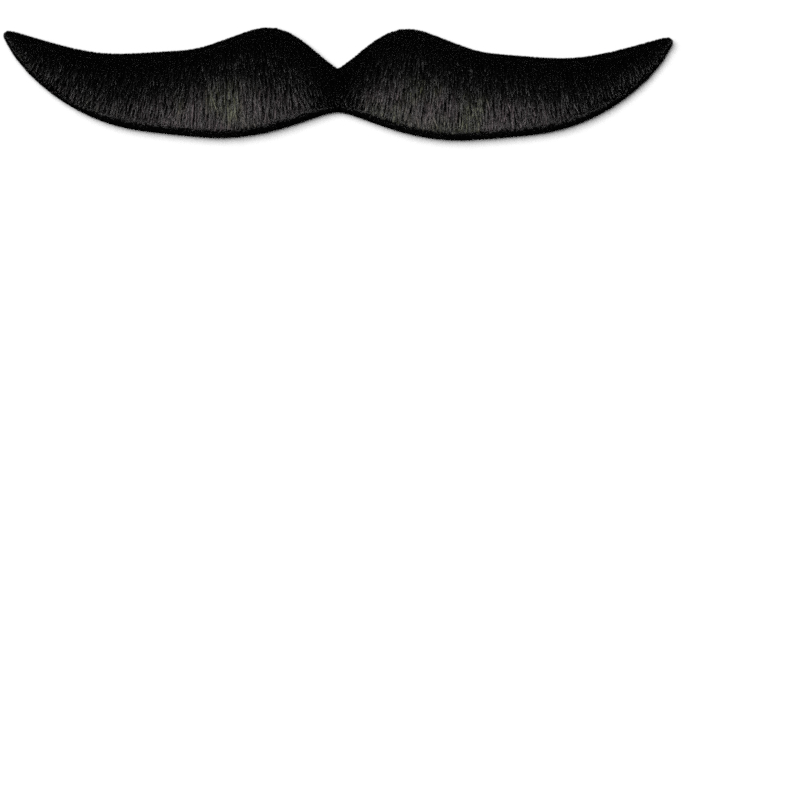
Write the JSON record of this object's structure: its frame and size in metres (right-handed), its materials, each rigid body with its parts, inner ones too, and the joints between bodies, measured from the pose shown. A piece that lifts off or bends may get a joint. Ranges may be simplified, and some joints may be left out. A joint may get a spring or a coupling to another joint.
{
  "type": "fake moustache",
  "caption": "Stick-on handlebar moustache of black plush with combed hair, a cut backing cloth and an adhesive strip behind it, lying on its back.",
  "frame": {"origin": "middle of the outline in X and Y, on the surface that the adhesive strip rests on", "axes": "+X along the moustache, towards the wearer's left tip; +Y towards the nose; +Z out of the face, from the adhesive strip to the hair"},
  "size_m": [0.14, 0.0233, 0.0062],
  "materials": {
    "hair": "black acrylic plush hair, combed downwards, softly glossy on the strands",
    "backing": "black warp-knitted plush backing, matt",
    "adhesive": "off-white double-sided foam tape, plain and matt"
  },
  "bodies": {
    "root": {"hair_pile": "hair", "backing_cloth": "backing", "adhesive_strip": "adhesive"}
  },
  "joints": []
}
